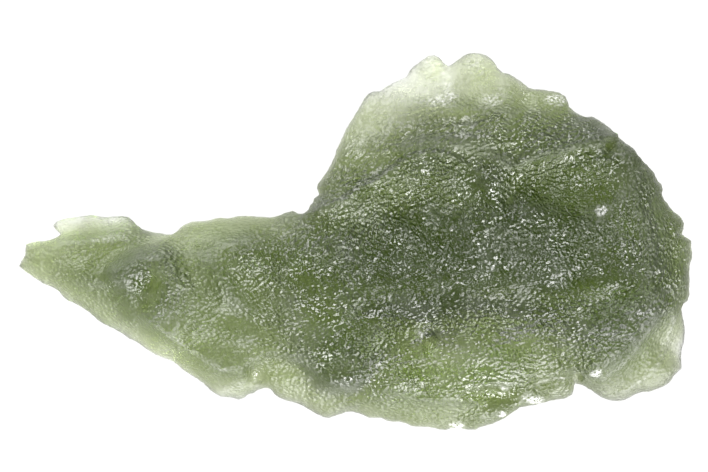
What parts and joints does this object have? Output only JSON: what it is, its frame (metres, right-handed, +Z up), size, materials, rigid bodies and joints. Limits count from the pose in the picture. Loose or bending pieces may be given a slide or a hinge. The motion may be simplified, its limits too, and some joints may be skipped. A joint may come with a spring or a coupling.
{
  "type": "moldavite",
  "caption": "Sculpted flake of olive-green natural glass with an etched basin, a narrow arm and thin pale flanges, lying on a small flat spot.",
  "frame": {"origin": "centre of the bounding box in plan, on the plane that the flat spot of the belly rests on", "axes": "+X from the narrow tip towards the broad end, +Y towards the two knobs of the crown, +Z up, out of the basin"},
  "size_m": [0.032, 0.0178, 0.0062],
  "materials": {
    "glass": "satin"
  },
  "bodies": {
    "root": {"moldavite": "glass"}
  },
  "joints": []
}
